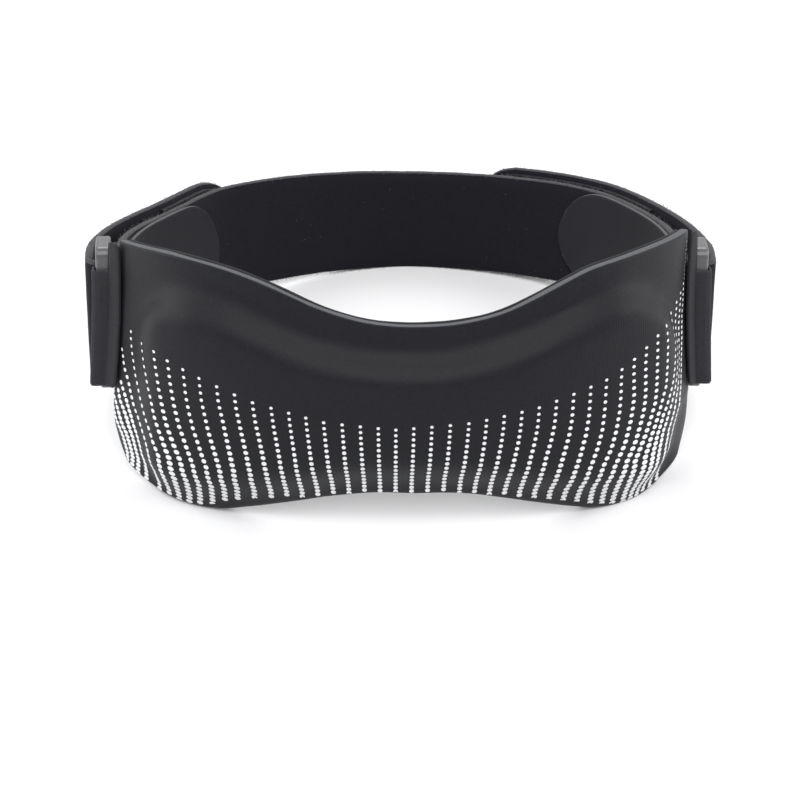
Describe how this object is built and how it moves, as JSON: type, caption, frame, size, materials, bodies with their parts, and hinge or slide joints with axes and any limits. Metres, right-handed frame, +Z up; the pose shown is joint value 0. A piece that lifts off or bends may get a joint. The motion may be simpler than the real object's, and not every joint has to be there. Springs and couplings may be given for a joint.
{
  "type": "patella strap",
  "caption": "Patella strap: a scooped, padded front shell with a printed dot pattern, two plastic loops and a hook-and-loop band folded back on itself.",
  "frame": {"origin": "centre of the bounding box at the surface it rests on", "axes": "+Z up from the surface it rests on, -Y towards the front of the pad, +X to the right seen from the front"},
  "size_m": [0.162, 0.1316, 0.0648],
  "materials": {
    "front_pad": "bluish black knit laminated on a moulded foam cushion",
    "inner_liner": "smooth dark lining cloth",
    "strap": "black loop-pile elastic webbing",
    "ring_left": "dark grey moulded plastic",
    "ring_right": "dark grey moulded plastic",
    "ring_tab_left": "woven tape",
    "ring_tab_right": "woven tape",
    "hook_patch_left": "black moulded hooks",
    "hook_patch_right": "black moulded hooks"
  },
  "bodies": {
    "root": {"front_pad": "front_pad", "inner_liner": "inner_liner", "strap": "strap", "ring_left": "ring_left", "ring_right": "ring_right", "ring_tab_left": "ring_tab_left", "ring_tab_right": "ring_tab_right", "hook_patch_left": "hook_patch_left", "hook_patch_right": "hook_patch_right"}
  },
  "joints": []
}
